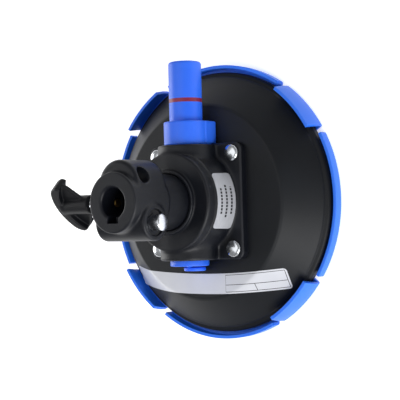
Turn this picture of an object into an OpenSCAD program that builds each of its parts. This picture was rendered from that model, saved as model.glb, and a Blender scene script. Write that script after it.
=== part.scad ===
// Pump-action vacuum cup with a swivelling 16 mm socket and a clip-on pad cover.
// The pad's axis is +Z, the pump runs along Y, and the cover rests on z = 0.

/* [Vacuum pad] */
// Radius of the pad's lip
pad_r = 76.2; // [70:0.1:92]
// Height of the pad from its lip to its flat top
pad_h = 22.85; // [19:0.05:28]
// Radius of the pad's flat top
plateau_r = 56.1; // [50:0.1:60]
// Thickness of the lip's outer edge
lip_t = 4.6; // [1.8:0.1:5.5]
// Width of the sealing face under the lip
seal_w = 6; // [4:0.5:9]
// Rubber between the hollow under the pad and the steel plate
roof_t = 4.85; // [4:0.05:7]

/* [Pad cover] */
// Thickness of the cover's floor
floor_t = 1.8; // [1.2:0.1:3]
// Thickness of the cover's walls and hooks
cover_wall = 1.8; // [1.2:0.1:2.4]
// Gap between the pad's lip and the cover's wall
cover_gap = 2.3; // [1.5:0.1:3]
// Height of the curved walls
wall_h = 7.6; // [4:0.1:13]
// Bevel around the cover's foot
foot_cut = 1.5; // [0.5:0.1:1.5]
// Height of the hooks
hook_h = 14.6; // [12:0.1:18]
// Half of each hook's arc in degrees
hook_half = 11.5; // [8:0.5:14]
// Arc of the notch on each side of a hook in degrees
notch_arc = 3.5; // [2:0.1:6]
// Turn of the cover about the pad in degrees
cover_turn = -2.9; // [-45:0.1:45]

/* [Pump body] */
// Half of the square flange's side
flange_half = 32.9; // [32:0.1:40]
// Thickness of the flange
flange_t = 5; // [4:0.1:7]
// Distance of each flange screw from the flange's edges
screw_inset = 6.1; // [5:0.1:6.5]
// Distance of the dome's foot from the flange's edges
dome_inset = 2.9; // [2:0.1:4]
// How much narrower the dome is at its front edge
dome_draft = 2; // [1:0.1:4]
// Height of the dome above the pump barrel
dome_over = 0.7; // [0.5:0.1:6]
// Radius of the pump barrel
barrel_r = 16.5; // [15:0.1:17]
// Length of the barrel beyond the dome's foot
barrel_over = 2.2; // [1.5:0.1:8]
// Height of the ring that guards the swivel
guard_h = 2.2; // [1.5:0.1:3]

/* [Pump] */
// Radius of the plunger
plunger_r = 9.4; // [7.8:0.1:11.3]
// Length of the plunger that stands out of the collar
plunger_out = 34.15; // [28:0.05:45]
// Stroke of the pump
stroke = 22; // [14:0.5:23]
// Gap between the plunger and the pump's bore
bore_gap = 0.5; // [0.4:0.1:1]
// Height of the plunger's collar
collar_h = 13.55; // [11:0.05:17]
// Height of the red line above the collar
line_rise = 10.85; // [8:0.05:13]

/* [Socket head] */
// Radius of the spigot bore
spigot_r = 8.1; // [7.9:0.05:9.8]
// Radius of the socket tube
socket_r = 16.4; // [15.8:0.1:18]
// Height of the socket's front face above the dome
socket_h = 47.5; // [44:0.1:58]
// Radius of the neck that turns in the guard ring
neck_r = 15.6; // [14.6:0.1:15.7]
// Height of the neck above the dome
neck_h = 18.8; // [15:0.1:20]
// Radius of the safety pin
pin_r = 4.4; // [3.8:0.1:4.6]
// Travel of the safety pin
pin_travel = 5; // [4:0.1:5.2]
// Distance of the safety pin's axis from the spigot bore's wall
pin_offset = 2.9; // [2.5:0.1:3.5]
// Depth of the bore's plain land behind its mouth
land_h = 11; // [8:0.5:11]

/* [Locking screw] */
// Radius of the locking screw
lock_r = 3; // [2.5:0.1:4]
// Distance from the socket's axis to the locking screw's wing
wing_reach = 51; // [48:0.5:60]
// Half of the wing's span
wing_half = 17; // [13:0.5:20]
// Thickness of the wing
wing_t = 8; // [6:0.5:10]

/* [Hidden] */
$fn = 72;
eps = 0.01;
run_gap = 0.08;      // radial gap of parts that slide or turn in each other
seat_gap = 0.35;     // gap between the pad's lip and the cover's floor
fit_gap = 0.05;      // radial gap of parts that are pushed into each other

// Pump bore: the liner in it, and the wall left between the liner and the pad
pump_bore_r = plunger_r + bore_gap;
liner_t = 1;
liner_r = pump_bore_r + liner_t;
under_wall = 0.7;
pump_rise = liner_r + under_wall;
dome_h = pump_rise + barrel_r + dome_over;

// Heights above the cover's underside
pad_z = floor_t + seat_gap;
top_z = pad_z + pad_h;
flange_z = top_z + flange_t;
pump_z = top_z + pump_rise;
dome_z = top_z + dome_h;

// Plan of the flange, the dome and the screws
corner_r = 4.5;
screw_off = flange_half - screw_inset;
dome_r = flange_half - dome_inset;
dome_top_r = dome_r - dome_draft;
barrel_up = dome_r + barrel_over;

// Cover
cover_in_r = pad_r + cover_gap;
cover_r = cover_in_r + cover_wall;
hook_in_r = pad_r + 0.6;
notch_r = pad_r - 3;

// Steel plate moulded into the pad, with four tapped bosses
plate_t = 3;
plate_z = top_z - 7;
boss_r = 5.5;
plate_r = screw_off * sqrt(2) + boss_r + 0.6;
hollow_z = plate_z - roof_t;
thread_r = 2.5;
port_r = 2.2;
port_y = -23;
filter_r = 7;
filter_t = 2;

// Flange screws
head_r = 4.7;
head_h = 2.9;

// Inside the barrel, from the collar's spigot down to the valve pocket
spigot_len = 6;
piston_top_y = barrel_up - spigot_len;
piston_len = 14;
piston_r = pump_bore_r - 0.12;
spring_wire = 0.55;
spring_r = pump_bore_r - 1.7;
spring_shut = 7;
cage_t = 1.2;
cage_gap = 2;
cage_y = piston_top_y - piston_len - stroke - spring_shut - cage_t;
cage_in_r = pump_bore_r - 2.5;
flap_r = cage_in_r - 1.4;
floor_y = cage_y - cage_gap;
pocket_y = floor_y - 6;
seal_y = piston_top_y - 11;
seal_len = 4;

// The barrel's lower end stands just proud of the flange and leaves room for the valve
valve_len = 7;
barrel_down = max(flange_half + 0.1, valve_len - pocket_y);

// Plunger
plunger_in_r = plunger_r - 3;
tip_y = barrel_up + collar_h + plunger_out;
line_y = barrel_up + collar_h + line_rise;
line_w = 2.2;
line_t = 0.5;

// Collar around the plunger
wiper_r = plunger_r + 1.6;
collar_r = wiper_r + 1.8;
collar_half = collar_r + 0.2;
collar_low = pump_rise - 0.8;
flange_gap = 0.15;
wiper_y = barrel_up + 9;
wiper_len = 3;

// Release valve under the barrel
cap_r = pump_rise - 0.5;
cap_t = 3.3;
cap_shank_r = cap_r - 2.9;
cap_pocket_r = 5.2;
cap_hole_r = 3;
cap_y = -barrel_down;
seat_y = cap_y - 0.2;
valve_r = 4;
stem_r = 1.5;
nub_r = 6.3;
nub_t = 2.1;
nub_off = cap_r - nub_r - 0.2;
nub_y = cap_y - cap_t - 0.9 - nub_t;

// Swivel joint between the dome and the socket head
guard_r = neck_r + 2.35;
post_r = spigot_r - 1.1;
post_h = 6.6;
bush_r = spigot_r + 0.6;
bush_flange_r = bush_r + 3.3;
bush_flange_t = 1.15;
neck_z = dome_z + bush_flange_t + 0.05;
web_z = dome_z + post_h;
washer_t = 1.2;
washer_z = web_z + 0.15;
swivel_head_r = 5;
swivel_head_h = 4;
swivel_thread_r = 3;
swivel_thread_h = web_z - pump_z - liner_r - 2.1;

// Socket head
head_z = dome_z + neck_h;
front_z = dome_z + socket_h;
mouth_chamfer = 1;
crown_r = 14;
crown_y = 9;
crown_z = front_z - 4.3;
crown_round = 2.5;
cable_r = 4.4;
cable_y = spigot_r + cable_r + 1.9;
cable_z = front_z - 11.3;
key_half = 3.8;
key_depth = 2.9;
key_len = 7.3;
relief = 0.25;

// Safety pin across the socket
pin_z = front_z - 15;
pin_y = -spigot_r - pin_offset;
pin_house_r = pin_r + 5.4;
pin_house_half = 17.3;
pin_out = 5.7;
pin_stop_x = -4.9;
pin_collar_r = pin_r + 0.85;
pin_collar_t = 1.95;
pin_waist_r = pin_offset - 0.2;
pin_spring_r = pin_collar_r - 1.65;
pin_cap_t = 3;

// Locking screw across the socket
lock_z = front_z - 14.3;
lock_boss_r = lock_r + 7;
lock_boss_x = -20.5;
tip_r = lock_r - 0.4;
tip_len = 3;
tip_x = -spigot_r - 0.1;
nose_r = lock_r - 1.6;
hub_r = lock_r + 1.8;
hub_x = -27.5;
wing_sag = 8;
wing_turn = 45;

// Labels
plate_label_half = 32;
plate_label_t = 0.3;
plate_label_z0 = flange_z + 1;
plate_label_z1 = dome_z - 7.3;
strip_t = 0.25;
strip_y0 = -53;
strip_w = 11.6;
strip_bend = 450;
strip_x0 = -60;
strip_x1 = 52.4;

// Lays a shape drawn along +Z on a line along Y through (x, y, z)
module along_y(x, y, z) { translate([x, y, z]) rotate([-90, 0, 0]) children(); }

// Lays a shape drawn along +Z on a line along X through (x, y, z)
module along_x(x, y, z) { translate([x, y, z]) rotate([0, 90, 0]) children(); }

module ring(outer, inner, h) {
  difference() {
    cylinder(r = outer, h = h);
    translate([0, 0, -1]) cylinder(r = inner, h = h + 2);
  }
}

// Cylinder with its top edge rounded by f
module round_top(r, h, f) {
  rotate_extrude() {
    square([r - f, h]);
    square([r, h - f]);
    translate([r - f, h - f]) intersection() {
      circle(f, $fn = 32);
      square(f);
    }
  }
}

// Cylinder with both end edges cut back by c
module chamfered(r, h, c) {
  rotate_extrude() polygon([[0, 0], [r - c, 0], [r, c], [r, h - c], [r - c, h], [0, h]]);
}

// Part of a turned profile, centred on an angle
module sector(mid, half) {
  rotate([0, 0, mid - half]) rotate_extrude(angle = 2 * half) children();
}

// Coil spring along +Z: coil radius, wire radius, length between wire centres, turns
module coil(r, wire, len, turns) {
  sides = 8;
  steps = round(turns * 16);
  points = [
    for (i = [0 : steps], k = [0 : sides - 1])
      let (a = 360 * turns * i / steps, b = 360 * k / sides, d = r + wire * cos(b))
      [d * cos(a), d * sin(a), len * i / steps + wire * sin(b)]
  ];
  skin = [
    for (i = [0 : steps - 1], k = [0 : sides - 1])
      let (n = (k + 1) % sides)
      [i * sides + k, (i + 1) * sides + k, (i + 1) * sides + n, i * sides + n]
  ];
  start = [for (k = [0 : sides - 1]) k];
  finish = [for (k = [sides - 1 : -1 : 0]) steps * sides + k];
  polyhedron(points, concat([start, finish], skin));
}

module at_screws() {
  for (x = [-1, 1], y = [-1, 1]) translate([x * screw_off, y * screw_off, 0]) children();
}

// ---- Cover and pad ----

module pad_cover() {
  hook_out = hook_in_r + cover_wall;
  notch_half = notch_arc / 2;
  color([0.22, 0.45, 0.95]) rotate([0, 0, cover_turn]) {
    difference() {
      rotate_extrude($fn = 180) polygon([
        [0, 0], [cover_r - foot_cut, 0], [cover_r, foot_cut], [cover_r, wall_h],
        [cover_in_r, wall_h], [cover_in_r, floor_t], [0, floor_t]
      ]);
      for (k = [0 : 3]) {
        sector(90 * k + 45, hook_half + notch_half)
          translate([cover_in_r - 1, floor_t]) square([cover_wall + 2, wall_h]);
        for (s = [-1, 1])
          sector(90 * k + 45 + s * (hook_half + notch_half), notch_half)
            translate([notch_r, -1]) square([cover_r - notch_r + 2, wall_h + 2]);
      }
    }
    for (k = [0 : 3]) sector(90 * k + 45, hook_half - 0.3) polygon([
      [cover_in_r + 0.4, floor_t / 2], [cover_in_r + 0.5, floor_t / 2], [cover_r - 0.1, foot_cut],
      [hook_out, hook_h - 0.6], [hook_out - 0.6, hook_h], [hook_in_r, hook_h]
    ]);
  }
}

// The pad's outer profile above its lip
function pad_slope() = [
  [pad_r, pad_z + lip_t - 0.6], [pad_r - 0.6, pad_z + lip_t + 0.45],
  [plateau_r + 0.9, top_z - 0.9], [plateau_r - 1.3, top_z]
];

module plate_shape() {
  translate([0, 0, plate_z]) cylinder(r = plate_r, h = plate_t);
  at_screws() translate([0, 0, plate_z]) cylinder(r = boss_r, h = top_z - plate_z);
}

module vacuum_pad() {
  seal_r = pad_r - seal_w;
  color([0.09, 0.09, 0.1]) difference() {
    rotate_extrude($fn = 180) polygon(concat(
      [[0, hollow_z], [seal_r * 0.55, hollow_z], [seal_r * 0.8, hollow_z - 2.5],
       [seal_r - 3, pad_z + 3], [seal_r, pad_z], [pad_r, pad_z]],
      pad_slope(),
      [[0, top_z]]
    ));
    plate_shape();
    translate([0, port_y, 0]) cylinder(r = port_r, h = top_z + 1);
    translate([0, port_y, hollow_z - 1]) cylinder(r = filter_r, h = filter_t + 1);
  }
}

module pad_plate() {
  color([0.7, 0.72, 0.74]) difference() {
    plate_shape();
    at_screws() translate([0, 0, plate_z - 1]) cylinder(r = thread_r, h = 10);
    translate([0, port_y, plate_z - 1]) cylinder(r = port_r, h = plate_t + 2);
  }
}

module pad_filter() {
  color([0.85, 0.84, 0.78]) translate([0, port_y, hollow_z])
    cylinder(r = filter_r, h = filter_t);
}

// Thin strip that follows the pad over its edge at both ends
module pad_label() {
  inner = pad_slope();
  color([0.95, 0.95, 0.95]) intersection() {
    rotate_extrude($fn = 180) polygon([
      [0, top_z], inner[3], inner[2], inner[1], inner[1] + [strip_t, strip_t],
      inner[2] + [strip_t, strip_t], inner[3] + [0.1, strip_t], [0, top_z + strip_t]
    ]);
    translate([0, strip_y0 + strip_bend, 0])
      ring(strip_bend, strip_bend - strip_w, top_z + 2, $fn = 180);
    translate([strip_x0, strip_y0 - 2, 0])
      cube([strip_x1 - strip_x0, strip_w + 8, top_z + 2]);
  }
}

// ---- Pump body ----

module flange() {
  flat = flange_half - corner_r;
  translate([-flange_half, -flat, top_z]) cube([2 * flange_half, 2 * flat, flange_t]);
  translate([-flat, -flange_half, top_z]) cube([2 * flat, 2 * flange_half, flange_t]);
  for (x = [-flat, flat], y = [-flat, flat])
    translate([x, y, top_z]) cylinder(r = corner_r, h = flange_t);
}

module pump_body() {
  color([0.13, 0.14, 0.16]) difference() {
    union() {
      flange();
      translate([0, 0, flange_z - 1]) rotate_extrude() polygon([
        [0, 0], [dome_r, 0], [dome_r, 1], [dome_r - 0.7, 2],
        [dome_top_r, dome_h - flange_t], [dome_top_r - 0.9, dome_h - flange_t + 1],
        [0, dome_h - flange_t + 1]
      ]);
      intersection() {
        along_y(0, -barrel_down, pump_z) chamfered(barrel_r, barrel_down + barrel_up, 1.2);
        translate([-barrel_r, -barrel_down - 1, top_z])
          cube([2 * barrel_r, barrel_down + barrel_up + 2, 2 * barrel_r]);
      }
      translate([0, 0, dome_z - 1]) ring(guard_r, neck_r + 0.3, guard_h + 1);
      translate([0, 0, dome_z - 1]) cylinder(r = post_r, h = post_h + 1);
    }
    along_y(0, floor_y, pump_z) cylinder(r = liner_r, h = 80);
    along_y(0, -barrel_down - 1, pump_z)
      cylinder(r = cap_shank_r + fit_gap, h = barrel_down + 1 + pocket_y);
    along_y(0, pocket_y - 1, pump_z) cylinder(r = port_r, h = floor_y - pocket_y + 2);
    translate([0, port_y, top_z - 1]) cylinder(r = port_r, h = pump_rise + 1);
    at_screws() translate([0, 0, top_z - 1]) cylinder(r = thread_r + 0.25, h = flange_t + 2);
    translate([0, 0, web_z - swivel_thread_h]) cylinder(r = swivel_thread_r, h = 20);
  }
}

// Pan-head screw with a cross recess, its seat at z = 0
module cross_screw(len) {
  difference() {
    union() {
      translate([0, 0, -len]) cylinder(r = thread_r, h = len + eps);
      round_top(head_r, head_h, 2);
    }
    for (a = [0, 90]) rotate([0, 0, a + 20])
      translate([-2.3, -0.5, head_h - 1.7]) cube([4.6, 1, 3]);
  }
}

module body_screws() {
  color([0.8, 0.81, 0.83]) at_screws() translate([0, 0, flange_z]) cross_screw(flange_t + 5.5);
}

module body_label() {
  slope = (dome_r - 0.7 - dome_top_r) / (dome_h - flange_t - 2);
  r0 = dome_r - 0.7 - slope * (plate_label_z0 - flange_z - 1);
  r1 = dome_r - 0.7 - slope * (plate_label_z1 - flange_z - 1);
  color([0.75, 0.76, 0.78]) sector(0, plate_label_half) polygon([
    [r0, plate_label_z0], [r0 + plate_label_t, plate_label_z0],
    [r1 + plate_label_t, plate_label_z1], [r1, plate_label_z1]
  ]);
}

module pump_liner() {
  color([0.78, 0.62, 0.35]) along_y(0, floor_y, pump_z)
    ring(liner_r, pump_bore_r, piston_top_y - floor_y);
}

module collar() {
  low = pump_z - collar_low;
  color([0.2, 0.4, 0.9]) difference() {
    union() {
      intersection() {
        along_y(0, barrel_up, pump_z) chamfered(collar_r, collar_h, 0.8);
        translate([-collar_half, barrel_up - 1, low])
          cube([2 * collar_half, collar_h + 2, 2 * collar_half]);
      }
      translate([-collar_half, barrel_up, low]) cube([2 * collar_half, collar_h, collar_low - 1.5]);
      along_y(0, piston_top_y, pump_z) cylinder(r = liner_r - fit_gap, h = spigot_len + 1);
    }
    translate([-collar_half - 1, 0, top_z])
      cube([2 * collar_half + 2, flange_half + flange_gap, flange_t + flange_gap]);
    along_y(0, 0, pump_z) cylinder(r = plunger_r + run_gap, h = 80);
    along_y(0, wiper_y, pump_z) cylinder(r = wiper_r, h = wiper_len);
  }
}

module collar_wiper() {
  color([0.1, 0.1, 0.1]) along_y(0, wiper_y, pump_z)
    ring(wiper_r, plunger_r + run_gap, wiper_len);
}

// ---- Plunger and piston ----

module plunger() {
  len = tip_y - piston_top_y;
  color([0.22, 0.42, 0.92]) along_y(0, piston_top_y, pump_z) difference() {
    round_top(plunger_r, len, 1.6);
    translate([0, 0, -1]) cylinder(r = plunger_in_r, h = len - 3);
    translate([0, 0, line_y - piston_top_y]) ring(plunger_r + 1, plunger_r - line_t, line_w);
  }
}

module red_line() {
  color([0.85, 0.1, 0.1]) along_y(0, line_y, pump_z)
    ring(plunger_r, plunger_r - line_t, line_w);
}

module piston() {
  color([0.85, 0.85, 0.82]) along_y(0, piston_top_y - piston_len, pump_z) difference() {
    union() {
      cylinder(r = piston_r, h = piston_len);
      cylinder(r = plunger_in_r, h = piston_len + 8);
    }
    translate([0, 0, seal_y - piston_top_y + piston_len])
      ring(piston_r + 1, piston_r - 2.2, seal_len);
    translate([0, 0, -1]) cylinder(r = 3.6, h = 5);
    translate([0, 0, -1]) cylinder(r = 2, h = piston_len + 8);
  }
}

module piston_seal() {
  color([0.12, 0.12, 0.12]) along_y(0, seal_y, pump_z)
    ring(piston_r + 0.07, piston_r - 2.2, seal_len);
}

module piston_screw() {
  color([0.7, 0.7, 0.72]) along_y(0, piston_top_y - piston_len + 1, pump_z) {
    difference() {
      cylinder(r = 3.4, h = 3);
      translate([0, 0, -1]) cylinder(r = 1.7, h = 2.6, $fn = 6);
    }
    cylinder(r = 2, h = piston_len + 5);
  }
}

module plunger_spring() {
  from = cage_y + cage_t + spring_wire;
  upto = piston_top_y - piston_len - spring_wire;
  color([0.6, 0.62, 0.65]) along_y(0, from, pump_z)
    coil(spring_r, spring_wire, upto - from, 5.5);
}

// ---- Intake and release valves ----

module valve_cage() {
  color([0.85, 0.85, 0.82]) along_y(0, floor_y, pump_z) difference() {
    cylinder(r = pump_bore_r - 0.1, h = cage_y - floor_y + cage_t);
    translate([0, 0, -1]) cylinder(r = cage_in_r, h = cage_y - floor_y + 1);
    for (k = [0 : 5]) rotate([0, 0, 60 * k]) translate([flap_r - 1.4, 0, 0]) cylinder(r = 1.2, h = 9);
  }
}

module intake_flap() {
  color([0.1, 0.1, 0.1]) along_y(0, floor_y, pump_z) cylinder(r = flap_r, h = 1);
}

module valve_cap() {
  color([0.2, 0.42, 0.92]) difference() {
    union() {
      along_y(0, cap_y - cap_t, pump_z) chamfered(cap_r, cap_t, 0.6);
      along_y(0, cap_y - 1, pump_z) cylinder(r = cap_shank_r, h = pocket_y - cap_y + 1);
    }
    along_y(0, seat_y, pump_z) cylinder(r = cap_pocket_r, h = 20);
    along_y(0, cap_y - cap_t - 1, pump_z) cylinder(r = cap_hole_r, h = 20);
  }
}

module release_lever() {
  color([0.22, 0.45, 0.95]) {
    along_y(0, nub_y, pump_z - nub_off) chamfered(nub_r, nub_t, 0.6);
    along_y(0, nub_y + 1, pump_z) cylinder(r = stem_r, h = seat_y + 2.2 - nub_y - 1);
  }
}

module release_seal() {
  color([0.1, 0.1, 0.1]) along_y(0, seat_y, pump_z) ring(valve_r, stem_r, 0.8);
}

module release_nut() {
  color([0.78, 0.62, 0.35]) along_y(0, seat_y + 0.8, pump_z) ring(valve_r - 0.3, stem_r, 1);
}

module release_spring() {
  wire = 0.3;
  from = seat_y + 1.8 + wire;
  color([0.6, 0.62, 0.65]) along_y(0, from, pump_z)
    coil(3, wire, pocket_y - wire - from, 4);
}

// ---- Swivel and socket head ----

module swivel_bush() {
  color([0.72, 0.52, 0.25]) translate([0, 0, neck_z - bush_flange_t]) {
    ring(bush_flange_r, post_r + run_gap, bush_flange_t);
    ring(bush_r, post_r + run_gap, web_z - neck_z + bush_flange_t - 0.05);
  }
}

module swivel_washer() {
  color([0.7, 0.7, 0.72]) translate([0, 0, web_z])
    ring(post_r, swivel_thread_r, washer_z - web_z);
  color([0.7, 0.7, 0.72]) translate([0, 0, washer_z])
    ring(spigot_r - 0.2, swivel_thread_r, washer_t);
}

module swivel_screw() {
  color([0.2, 0.2, 0.21]) translate([0, 0, washer_z + washer_t]) difference() {
    union() {
      chamfered(swivel_head_r, swivel_head_h, 0.4);
      translate([0, 0, -washer_t - swivel_thread_h]) cylinder(r = swivel_thread_r, h = 12);
    }
    translate([0, 0, swivel_head_h - 2.5]) cylinder(r = 2.9, h = 3, $fn = 6);
  }
}

module socket_head() {
  tube_h = front_z - head_z;
  color([0.14, 0.15, 0.18]) difference() {
    union() {
      translate([0, 0, neck_z]) cylinder(r = neck_r, h = head_z - neck_z + 1);
      translate([0, 0, head_z]) round_top(socket_r, tube_h, 1);
      translate([0, crown_y, head_z]) round_top(crown_r, crown_z - head_z, crown_round);
      along_x(-pin_house_half, pin_y, pin_z) chamfered(pin_house_r, 2 * pin_house_half, 0.9);
      along_x(lock_boss_x, 0, lock_z) chamfered(lock_boss_r, -lock_boss_x, 1.2);
    }
    translate([0, 0, front_z - land_h]) cylinder(r = spigot_r, h = land_h + 1);
    translate([0, 0, web_z]) cylinder(r = spigot_r + relief, h = front_z - land_h - web_z);
    translate([0, 0, neck_z - 1]) cylinder(r = bush_r, h = web_z - neck_z + 1);
    translate([0, 0, front_z - mouth_chamfer])
      cylinder(r1 = spigot_r, r2 = spigot_r + 2 * mouth_chamfer, h = 2 * mouth_chamfer);
    translate([-key_half, -spigot_r - key_depth, front_z - key_len])
      cube([2 * key_half, spigot_r + key_depth, key_len + 1]);
    along_x(-40, 0, lock_z) cylinder(r = lock_r + run_gap, h = 40);
    along_x(-40, cable_y, cable_z) cylinder(r = cable_r, h = 80);
    along_x(pin_stop_x, pin_y, pin_z) cylinder(r = pin_r + run_gap, h = 40);
    along_x(-40, pin_y, pin_z) cylinder(r = pin_collar_r + 0.1, h = 40 + pin_stop_x);
    along_x(pin_house_half - 2, pin_y, pin_z) cylinder(r = pin_house_r - 2.6, h = 10);
  }
}

module safety_pin() {
  neck_x = 0.2;
  neck_len = 2 * pin_travel - 0.4;
  color([0.85, 0.86, 0.88]) difference() {
    union() {
      along_x(pin_stop_x - pin_collar_t - 0.05, pin_y, pin_z)
        cylinder(r = pin_collar_r, h = pin_collar_t);
      along_x(pin_stop_x - 0.1, pin_y, pin_z)
        chamfered(pin_r, pin_house_half + pin_out - pin_stop_x + 0.1, 0.5);
    }
    along_x(neck_x, pin_y, pin_z) ring(pin_r + 1, pin_waist_r, neck_len);
  }
}

module pin_spring() {
  wire = 0.35;
  from = -pin_house_half + pin_cap_t + wire;
  upto = pin_stop_x - pin_collar_t - 0.05 - wire;
  color([0.6, 0.62, 0.65]) along_x(from, pin_y, pin_z) coil(pin_spring_r, wire, upto - from, 3);
}

module pin_cap() {
  color([0.3, 0.3, 0.32]) along_x(-pin_house_half, pin_y, pin_z) difference() {
    chamfered(pin_collar_r + 0.1, pin_cap_t, 0.3);
    translate([-4, -0.5, -1]) cube([8, 1, 2]);
  }
}

module clamp_tip() {
  color([0.78, 0.62, 0.35]) along_x(tip_x - tip_len, 0, lock_z) difference() {
    chamfered(tip_r, tip_len, 0.3);
    translate([0, 0, -1]) cylinder(r = nose_r + run_gap, h = 3.1);
  }
}

module lock_screw() {
  nose_x = tip_x - tip_len;
  end_x = -wing_reach + 6;
  color([0.75, 0.76, 0.78]) {
    along_x(end_x, 0, lock_z) cylinder(r = lock_r, h = nose_x - 0.1 - end_x);
    along_x(nose_x - 0.2, 0, lock_z) cylinder(r = nose_r, h = 2.1);
  }
}

module wing_knob() {
  arc_r = (wing_half * wing_half + wing_sag * wing_sag) / (2 * wing_sag);
  root_x = hub_x - 4;
  edge_x = -wing_reach + wing_sag + 4;
  color([0.09, 0.09, 0.1]) translate([0, 0, lock_z]) rotate([wing_turn, 0, 0]) difference() {
    union() {
      along_x(-wing_reach + 3, 0, 0) chamfered(hub_r, hub_x + wing_reach - 3, 0.5);
      translate([0, 0, -wing_t / 2]) linear_extrude(wing_t) intersection() {
        translate([arc_r - wing_reach, 0]) circle(arc_r);
        polygon([
          [-wing_reach - 1, -wing_half], [edge_x, -wing_half], [root_x, -hub_r],
          [root_x, hub_r], [edge_x, wing_half], [-wing_reach - 1, wing_half]
        ]);
      }
    }
    along_x(-wing_reach + 6, 0, 0) cylinder(r = lock_r, h = 40);
  }
}

pad_cover();
vacuum_pad();
pad_plate();
pad_filter();
pad_label();
pump_body();
body_screws();
body_label();
pump_liner();
collar();
collar_wiper();
plunger();
red_line();
piston();
piston_seal();
piston_screw();
plunger_spring();
valve_cage();
intake_flap();
valve_cap();
release_lever();
release_seal();
release_nut();
release_spring();
swivel_bush();
swivel_washer();
swivel_screw();
socket_head();
safety_pin();
pin_spring();
pin_cap();
clamp_tip();
lock_screw();
wing_knob();
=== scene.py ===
import math

import bmesh
import bpy
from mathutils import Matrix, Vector


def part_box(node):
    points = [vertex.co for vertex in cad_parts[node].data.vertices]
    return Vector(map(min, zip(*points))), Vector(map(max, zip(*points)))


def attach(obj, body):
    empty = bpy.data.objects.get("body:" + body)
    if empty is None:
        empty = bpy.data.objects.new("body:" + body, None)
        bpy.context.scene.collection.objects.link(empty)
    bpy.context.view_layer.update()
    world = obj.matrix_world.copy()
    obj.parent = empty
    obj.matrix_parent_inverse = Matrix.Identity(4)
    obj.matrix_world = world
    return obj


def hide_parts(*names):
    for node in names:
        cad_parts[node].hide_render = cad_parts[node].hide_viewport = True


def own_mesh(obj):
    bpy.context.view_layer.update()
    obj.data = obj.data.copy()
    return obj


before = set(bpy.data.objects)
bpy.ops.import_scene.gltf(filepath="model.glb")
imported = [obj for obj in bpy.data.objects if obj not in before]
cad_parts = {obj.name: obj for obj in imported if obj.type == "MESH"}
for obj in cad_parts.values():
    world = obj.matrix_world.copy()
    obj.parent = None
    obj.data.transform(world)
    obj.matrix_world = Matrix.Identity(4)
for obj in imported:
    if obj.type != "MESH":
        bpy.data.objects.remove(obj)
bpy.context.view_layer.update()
mm = 0.001


# ---- Pad cover ----
# The shield that clips over the pad's lip in storage: one injection moulding in bright
# blue polypropylene. Four curved walls stand on its floor, and four hooks between them
# spring over the lip, with a notch on each side of a hook.

cover_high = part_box("pad_cover")[1]
cover_radius = cover_high.x
cover_floor = 1.8 * mm
cover_wall = 1.8 * mm
wall_height = 7.6 * mm
foot_round = 2.8 * mm
wall_half = 30
hook_half = 11.5
hook_height = cover_high.z
hook_lean = 1.7 * mm
notch_radius = cover_radius - 7.1 * mm
cover_turn = -2.9
cover_edge = 0.4 * mm


class Wire:
    """One output of a node tree, or the tree alone: arithmetic adds Math nodes, node() any other."""

    def __init__(self, tree, socket=None):
        self.tree = tree
        self.socket = socket

    def node(self, kind, settings=None, inputs=None, output=0):
        made = self.tree.nodes.new(kind)
        for name, value in (settings or {}).items():
            if name == "stops":
                ramp = made.color_ramp.elements
                while len(ramp) < len(value):
                    ramp.new(1.0)
                for stop, (position, colour) in zip(ramp, value):
                    stop.position, stop.color = position, colour
            else:
                setattr(made, name, value)
        for key, value in (inputs or {}).items():
            if isinstance(value, Wire):
                self.tree.links.new(value.socket, made.inputs[key])
            else:
                made.inputs[key].default_value = value
        return Wire(self.tree, made.outputs[output] if len(made.outputs) else None)

    def maths(self, operation, *others):
        return self.node("ShaderNodeMath", {"operation": operation}, dict(enumerate((self, *others))))

    def __add__(self, other):
        return self.maths("ADD", other)

    def __sub__(self, other):
        return self.maths("SUBTRACT", other)

    def __truediv__(self, other):
        return self.maths("DIVIDE", other)

    def __rtruediv__(self, other):
        return self.node("ShaderNodeMath", {"operation": "DIVIDE"}, {0: other, 1: self})

    def __rsub__(self, other):
        return self.node("ShaderNodeMath", {"operation": "SUBTRACT"}, {0: other, 1: self})

    def __mul__(self, other):
        return self.maths("MULTIPLY", other)

    def __abs__(self):
        return self.maths("ABSOLUTE")

    __radd__ = __add__
    __rmul__ = __mul__


def colour(red, green, blue):
    """A display colour in 0 to 255 as the linear one that a shader takes."""
    return (*[(c / 255) ** 2.2 for c in (red, green, blue)], 1.0)


def noise(place, scale, detail=2.0, roughness=0.5):
    """Noise from 0 to 1 with a grain of about 1 / scale metres."""
    inputs = {"Vector": place, "Scale": scale, "Detail": detail, "Roughness": roughness}
    return place.node("ShaderNodeTexNoise", {}, inputs)


def spread(value, low, high):
    """value from 0 to 1 laid out from low to high."""
    return value * (high - low) + low


def blend(factor, first, second):
    """A colour between two."""
    return factor.node("ShaderNodeMix", {"data_type": "RGBA"}, {0: factor, 6: first, 7: second}, 2)


def bump(height, distance):
    """The normal of a surface with that relief, in metres."""
    return height.node("ShaderNodeBump", {}, {"Height": height, "Distance": distance}, "Normal")


def material(name, inputs_at):
    """A material with the Principled inputs that inputs_at gives for the object coordinates."""
    made = bpy.data.materials.new(name)
    made.use_nodes = True
    made.node_tree.nodes.clear()
    tree = Wire(made.node_tree)
    place = tree.node("ShaderNodeTexCoord", {}, {}, "Object")
    surface = tree.node("ShaderNodeBsdfPrincipled", {}, inputs_at(place), "BSDF")
    tree.node("ShaderNodeOutputMaterial", {}, {"Surface": surface})
    return made


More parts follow.
